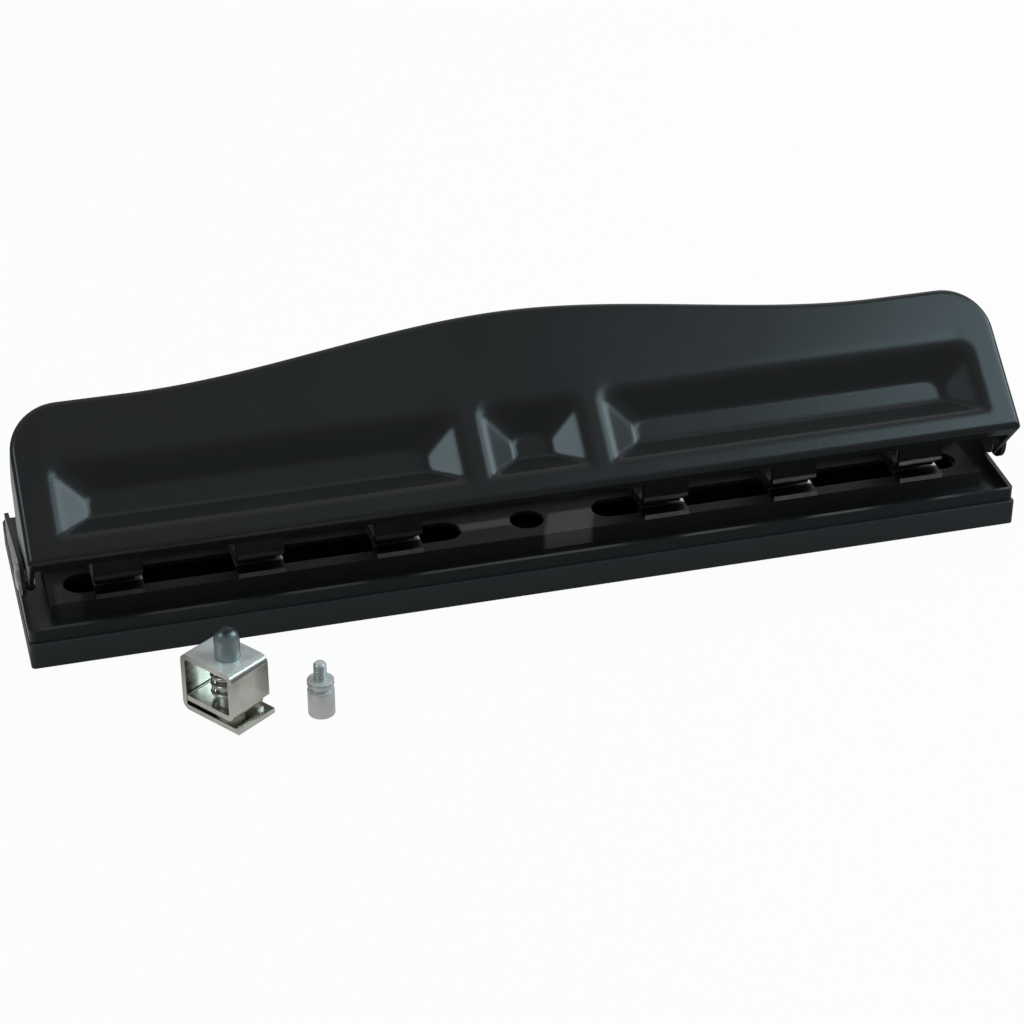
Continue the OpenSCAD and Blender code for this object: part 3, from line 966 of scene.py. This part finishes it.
@dataclass
class PunchHead:
    """One punch head, in millimetres: bracket, pin, cutter and spring, dressed where the frame has them."""

    materials: Materials
    prefix: str
    body: str
    pin_body: str
    joint: str
    plate: Finish = Finish.SEATED
    bracket_edge: float = 0.18
    cutter_edge: float = 0.12
    shank_r: float = 3.3
    flange_from: float = 0.8
    flange_to: float = 1.9
    turned_edge: float = 0.15
    dome_steps: int = 12
    wire: float = 1.0
    turns: float = 3.0
    turn_steps: int = 28
    wire_crease: float = 50.0
    stroke: float = 4.19
    centre: Vector = field(init=False)

    def __post_init__(self) -> None:
        """Finds the head's axis from its pin."""
        low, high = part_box(f"{self.prefix}_pin")
        self.centre = 0.5 * (low + high)

    def build(self, nodes: Nodes) -> list[bpy.types.Object]:
        """Dresses the four pieces among the frame's nodes."""
        bracket, cutter = nodes[f"{self.prefix}_bracket"], nodes[f"{self.prefix}_cutter"]
        return [dress_node(bracket, self.materials[self.plate], self.bracket_edge),
                dress_node(cutter, self.materials[Finish.CUTTER], self.cutter_edge),
                self.build_pin(), self.build_spring()]

    def build_pin(self) -> bpy.types.Object:
        """Turns the pin: a shank with a dome, and the flange that the spring pushes on.

        Returns:
            The piece.
        """
        low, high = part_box(f"{self.prefix}_pin")
        flange_r = 0.5 * (high.x - low.x)
        shank_r = self.shank_r * MM
        flange_low, flange_high = low.z + self.flange_from * MM, low.z + self.flange_to * MM
        dome = [(shank_r * math.cos(a), high.z - shank_r + shank_r * math.sin(a))
                for a in np.linspace(0.0, QUARTER, self.dome_steps + 1)]
        lower = rounded([(0.0, low.z), (shank_r, low.z), (shank_r, flange_low), (flange_r, flange_low),
                         (flange_r, flange_high), (shank_r, flange_high), dome[0]], self.turned_edge * MM)
        points, faces = lathe(lower[:-1] + dome)
        points += np.array((self.centre.x, self.centre.y, 0.0))
        piece = new_piece(f"{self.prefix}_plunger", points, faces, self.materials[Finish.PIN])
        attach(piece, self.pin_body)
        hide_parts(f"{self.prefix}_pin")
        return piece

    def build_spring(self) -> bpy.types.Object:
        """Winds the spring of round wire, with upright ends.

        Returns:
            The piece.
        """
        low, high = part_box(f"{self.prefix}_spring")
        wire_r = 0.5 * self.wire * MM
        radius = 0.5 * (high.y - low.y) - wire_r
        steps = int(self.turn_steps * self.turns)
        turn = np.linspace(0.0, 2.0 * math.pi * self.turns, steps + 1)
        rise = np.linspace(low.z + 2.0 * wire_r, high.z - 2.0 * wire_r, steps + 1)
        coil = np.stack([radius * np.cos(turn), radius * np.sin(turn), rise], axis=-1)
        start, end = coil[0] * (1.0, 1.0, 0.0), coil[-1] * (1.0, 1.0, 0.0)
        path = np.concatenate([[start + (0.0, 0.0, low.z)], coil, [end + (0.0, 0.0, high.z)]])
        points, faces = tube(path, wire_r)
        points += np.array((self.centre.x, self.centre.y, 0.0))
        piece = new_piece(f"{self.prefix}_coil", points, faces, self.materials[Finish.SPRING],
                          self.wire_crease)
        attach(piece, self.body)
        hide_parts(f"{self.prefix}_spring")
        length = (high.z - low.z) / MM
        (length - self.stroke) / length
        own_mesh(piece)
        return piece


@dataclass
class LooseCutter:
    """The spare cutter, in millimetres: a turned body with a groove, a collar and a threaded stud."""

    materials: Materials
    cup_depth: float = 1.0
    cup_in: float = 1.0
    rim_in: float = 0.5
    groove_in: float = 0.8
    body_h: float = 7.4
    groove_w: float = 1.4
    turned_edge: float = 0.2
    stud_r: float = 1.7
    chamfer: float = 0.6
    chamfer_in: float = 0.48
    tip: float = 0.1
    thread_from: float = 0.3
    thread_pitch: float = 0.6
    thread_depth: float = 0.22
    thread_rings: int = 60
    sides: int = 48

    def build(self) -> bpy.types.Object:
        """Turns the cutter and cuts its thread.

        Returns:
            The piece.
        """
        low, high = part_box("loose_cutter")
        centre = 0.5 * (low + high)
        radius = 0.5 * (high.x - low.x)
        neck = radius - self.groove_in * MM
        cup = self.cup_depth * MM
        top = self.body_h * MM
        collar = top + self.groove_w * MM
        seat = collar + self.groove_w * MM
        stud = self.stud_r * MM
        shoulder = high.z - self.chamfer * MM
        corners = [(0.0, cup), (radius - self.cup_in * MM, cup), (radius - self.rim_in * MM, 0.0),
                   (radius, 0.0), (radius, top), (neck, top), (neck, collar), (radius, collar),
                   (radius, seat), (stud, seat)]
        profile = rounded(corners, self.turned_edge * MM)
        profile += [(stud, float(z)) for z in np.linspace(seat, shoulder, self.thread_rings + 1)[1:]]
        profile += [(stud - self.chamfer_in * MM, high.z - self.tip * MM), (0.0, high.z)]
        points, faces = lathe(profile, self.sides)
        points = self.cut_thread(points, seat + self.thread_from * MM, shoulder)
        points += np.array((centre.x, centre.y, low.z))
        piece = new_piece("spare_cutter", points, faces, self.materials[Finish.CUTTER])
        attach(piece, Body.LOOSE_CUTTER.value)
        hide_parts("loose_cutter")
        return piece

    def cut_thread(self, points: np.ndarray, start: float, end: float) -> np.ndarray:
        """Draws the stud's skin in along a helix.

        Args:
            points: The turned points.
            start: Height where the thread starts, in metres.
            end: Height where it ends.

        Returns:
            The threaded points.
        """
        angle = np.arctan2(points[:, 1], points[:, 0])
        phase = points[:, 2] / (self.thread_pitch * MM) - angle / (2.0 * math.pi)
        groove = 1.0 - np.abs(2.0 * (phase - np.floor(phase)) - 1.0)
        inside = (points[:, 2] > start) & (points[:, 2] <= end + WELD)
        radius = np.hypot(points[:, 0], points[:, 1])
        shrink = np.where(inside & (radius > 0.5 * self.stud_r * MM), groove * self.thread_depth * MM, 0.0)
        scale = np.where(radius > 0.0, (radius - shrink) / np.maximum(radius, WELD), 1.0)
        return points * np.stack([scale, scale, np.ones_like(scale)], axis=-1)


@dataclass
class Base:
    """The tray, the frame with its ears, the rail and the rivets, with their edges in millimetres."""

    materials: Materials
    tray_edge: float = 0.5
    frame_edge: float = 0.55
    rail_edge: float = 0.3
    pivot_edge: float = 0.25

    def build(self, nodes: Nodes) -> list[bpy.types.Object]:
        """Dresses the base's pieces among the frame's nodes."""
        plan = (("chip_tray", Finish.TRAY, self.tray_edge), ("base_frame", Finish.BASE, self.frame_edge),
                ("head_rail", Finish.RAIL, self.rail_edge), ("rail_rivets", Finish.RIVET, self.rail_edge),
                ("pivot_rivet_left", Finish.RIVET, self.pivot_edge),
                ("pivot_rivet_right", Finish.RIVET, self.pivot_edge))
        return [dress_node(nodes[name], self.materials[finish], edge) for name, finish, edge in plan]


@dataclass(frozen=True)
class SoftBox:
    """One rectangular studio lamp that points at the punch."""

    name: str
    place: Triple
    width: float
    height: float
    radiance: float
    colour: Colour

    def build(self, target: Vector) -> None:
        """Makes the lamp.

        Args:
            target: The point that it faces.
        """
        lamp = bpy.data.lights.new(self.name, "AREA")
        lamp.shape = "RECTANGLE"
        lamp.size = self.width
        lamp.size_y = self.height
        lamp.energy = self.radiance * math.pi * self.width * self.height
        lamp.color = self.colour
        holder = bpy.data.objects.new(self.name, lamp)
        holder.location = self.place
        holder.rotation_euler = (target - Vector(self.place)).to_track_quat("-Z", "Y").to_euler()
        bpy.context.scene.collection.objects.link(holder)


@dataclass(frozen=True)
class PaleSpot:
    """An oval on the floor that polished pieces see as white, in millimetres."""

    place: Pair
    size: Pair
    fade: Pair = (0.9, 1.6)

    def share(self, shade: Shade) -> Wire:
        """How much of the white shows.

        Args:
            shade: The floor's node tree.

        Returns:
            The share, from 1 inside the oval to 0 outside.
        """
        scale = tuple(1.0 / (size * MM) for size in self.size)
        middle = tuple(-place * MM * size for place, size in zip(self.place, scale))
        coords = shade.out(shade.add("ShaderNodeTexCoord"), "Object")
        spot = shade.add("ShaderNodeMapping", inputs={"Vector": coords, "Location": (*middle, 0.0),
                                                      "Scale": (*scale, 1.0)})
        away = shade.add("ShaderNodeVectorMath", {"operation": "LENGTH"}, {0: shade.out(spot)})
        return 1.0 - shade.ramp(shade.out(away, "Value"), *self.fade)


@dataclass(frozen=True)
class Studio:
    """The pale floor, the ambient light, the lamps and the camera, which is placed in millimetres."""

    floor_half: float = 6.0
    floor_tone: float = 0.32
    seen_tone: float = 0.9
    floor_glow: float = 0.965
    floor_gloss: float = 0.04
    near_gloss: float = 0.55
    spots: tuple[PaleSpot, ...] = (PaleSpot((-88.0, -73.5), (46.0, 15.0)),
                                   PaleSpot((-152.0, 15.0), (11.0, 60.0)))
    world_gloss: float = 0.075
    ambient: Colour = (0.118, 0.12, 0.122)
    aim: Triple = (0.0, 0.0, 0.03)
    lamps: tuple[SoftBox, ...] = (
        SoftBox("right_box", (0.95, -0.05, 0.66), 0.5, 0.5, 5.0, (0.7, 0.92, 1.0)),
        SoftBox("left_box", (-0.91, -0.1, 0.775), 0.32, 0.32, 5.5, (0.7, 0.92, 1.0)),
        SoftBox("key_box", (0.785, -0.46, 1.04), 0.4, 0.5, 4.2, (0.64, 0.9, 1.0)),
        SoftBox("top_box", (0.0, 0.7, 1.1), 2.4, 1.8, 0.2, (1.0, 0.98, 0.98)),
        SoftBox("back_box", (0.7, 0.95, 0.75), 0.9, 0.8, 0.5, (0.95, 0.98, 1.0)))
    eye: Triple = (-171.7, -615.6, 384.8)
    forward: Triple = (0.2313, 0.8290, -0.5092)
    lens: float = 91.9
    sensor: float = 36.0
    clip_start: float = 0.01

    @staticmethod
    def seen_share(shade: Shade, camera_share: Value, mirror_share: Value) -> Wire:
        """How much of the plain white a ray sees.

        Args:
            shade: The node tree.
            camera_share: Share for camera rays.
            mirror_share: Share for mirrored and passed rays.

        Returns:
            The share.
        """
        path = shade.add("ShaderNodeLightPath")
        mirrored = shade.out(path, "Is Glossy Ray") + shade.out(path, "Is Transmission Ray")
        return shade.out(path, "Is Camera Ray") * camera_share + mirrored * mirror_share

    def near_share(self, shade: Shade) -> Wire:
        """White that mirrored rays see on the floor: much at the pale spots, little elsewhere.

        Args:
            shade: The floor's node tree.

        Returns:
            The share.
        """
        near: Value = 0.0
        for spot in self.spots:
            near = spot.share(shade) + near
        return self.floor_gloss + (self.near_gloss - self.floor_gloss) * shade.ramp(near, 0.0, 1.0)

    def build_floor(self) -> None:
        """Makes the pale floor that fades to white and keeps a faint shadow."""
        h = self.floor_half
        points = np.array([(-h, -h, 0.0), (h, -h, 0.0), (h, h, 0.0), (-h, h, 0.0)])
        material, shade = new_material("studio_floor")
        seen = shade.out(shade.add("ShaderNodeLightPath"), "Is Camera Ray")
        tone = shade.mix(seen, grey(self.floor_tone), grey(self.seen_tone))
        matte = shade.add("ShaderNodeBsdfDiffuse", inputs={"Color": tone})
        white = shade.add("ShaderNodeEmission", inputs={"Color": grey(1.0), "Strength": 1.0})
        share = self.seen_share(shade, self.floor_glow, self.near_share(shade))
        shade.add("ShaderNodeOutputMaterial", inputs={"Surface": shade.blend(share, matte, white)})
        floor = new_piece("floor", points, [[0, 1, 2, 3]], material)

    def build_world(self) -> None:
        """Makes the even ambient light behind a white backdrop."""
        world = bpy.data.worlds.new("studio")
        world.use_nodes = True
        bpy.context.scene.world = world
        shade = Shade(world.node_tree)
        soft = shade.add("ShaderNodeBackground", inputs={"Color": rgba(self.ambient), "Strength": 1.0})
        white = shade.add("ShaderNodeBackground", inputs={"Color": grey(1.0), "Strength": 1.0})
        share = self.seen_share(shade, 1.0, self.world_gloss)
        shade.add("ShaderNodeOutputWorld", inputs={"Surface": shade.blend(share, soft, white)})

    def build_camera(self) -> None:
        """Makes the camera at the photograph's view."""
        camera = bpy.data.cameras.new("camera")
        camera.sensor_fit = "HORIZONTAL"
        camera.sensor_width = self.sensor
        camera.lens = self.lens
        camera.clip_start = self.clip_start
        holder = bpy.data.objects.new("camera", camera)
        holder.location = MM * Vector(self.eye)
        holder.rotation_euler = Vector(self.forward).to_track_quat("-Z", "Y").to_euler()
        bpy.context.scene.collection.objects.link(holder)
        bpy.context.scene.camera = holder

    def build(self) -> None:
        """Makes the whole studio."""
        bpy.context.scene.view_settings.view_transform = "Standard"
        self.build_floor()
        self.build_world()
        self.build_camera()
        for lamp in self.lamps:
            lamp.build(Vector(self.aim))


def main() -> None:
    """Builds the studio, dresses every sub-assembly and reports each piece."""
    logging.basicConfig(level=logging.INFO, format="%(name)s: %(message)s")
    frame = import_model()
    nodes = frame["nodes"]
    joints = {joint["name"]: joint for joint in frame["joints"]}
    Studio().build()
    materials = Finishes().build()
    pieces = Base(materials).build(nodes)
    low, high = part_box("lever_handle")
    pivot = Vector(joints["lever_press"]["pos_m"])
    pieces.append(PressedLever(materials, pivot, high.x / MM, low.y / MM).build())
    for number in range(1, SEATED_HEADS + 1):
        head, pin = f"head_{number}", f"pin_{number}"
        pieces += PunchHead(materials, head, head, pin, f"{pin}_stroke").build(nodes)
    loose = PunchHead(materials, "loose_head", "loose_head", "loose_pin", "loose_pin_stroke", Finish.NICKEL)
    pieces += loose.build(nodes)
    pieces.append(LooseCutter(materials).build())
    for piece in pieces:
        LOG.info("%s in %s", piece.name, piece.active_material.name)


if __name__ == "__main__":
    main()
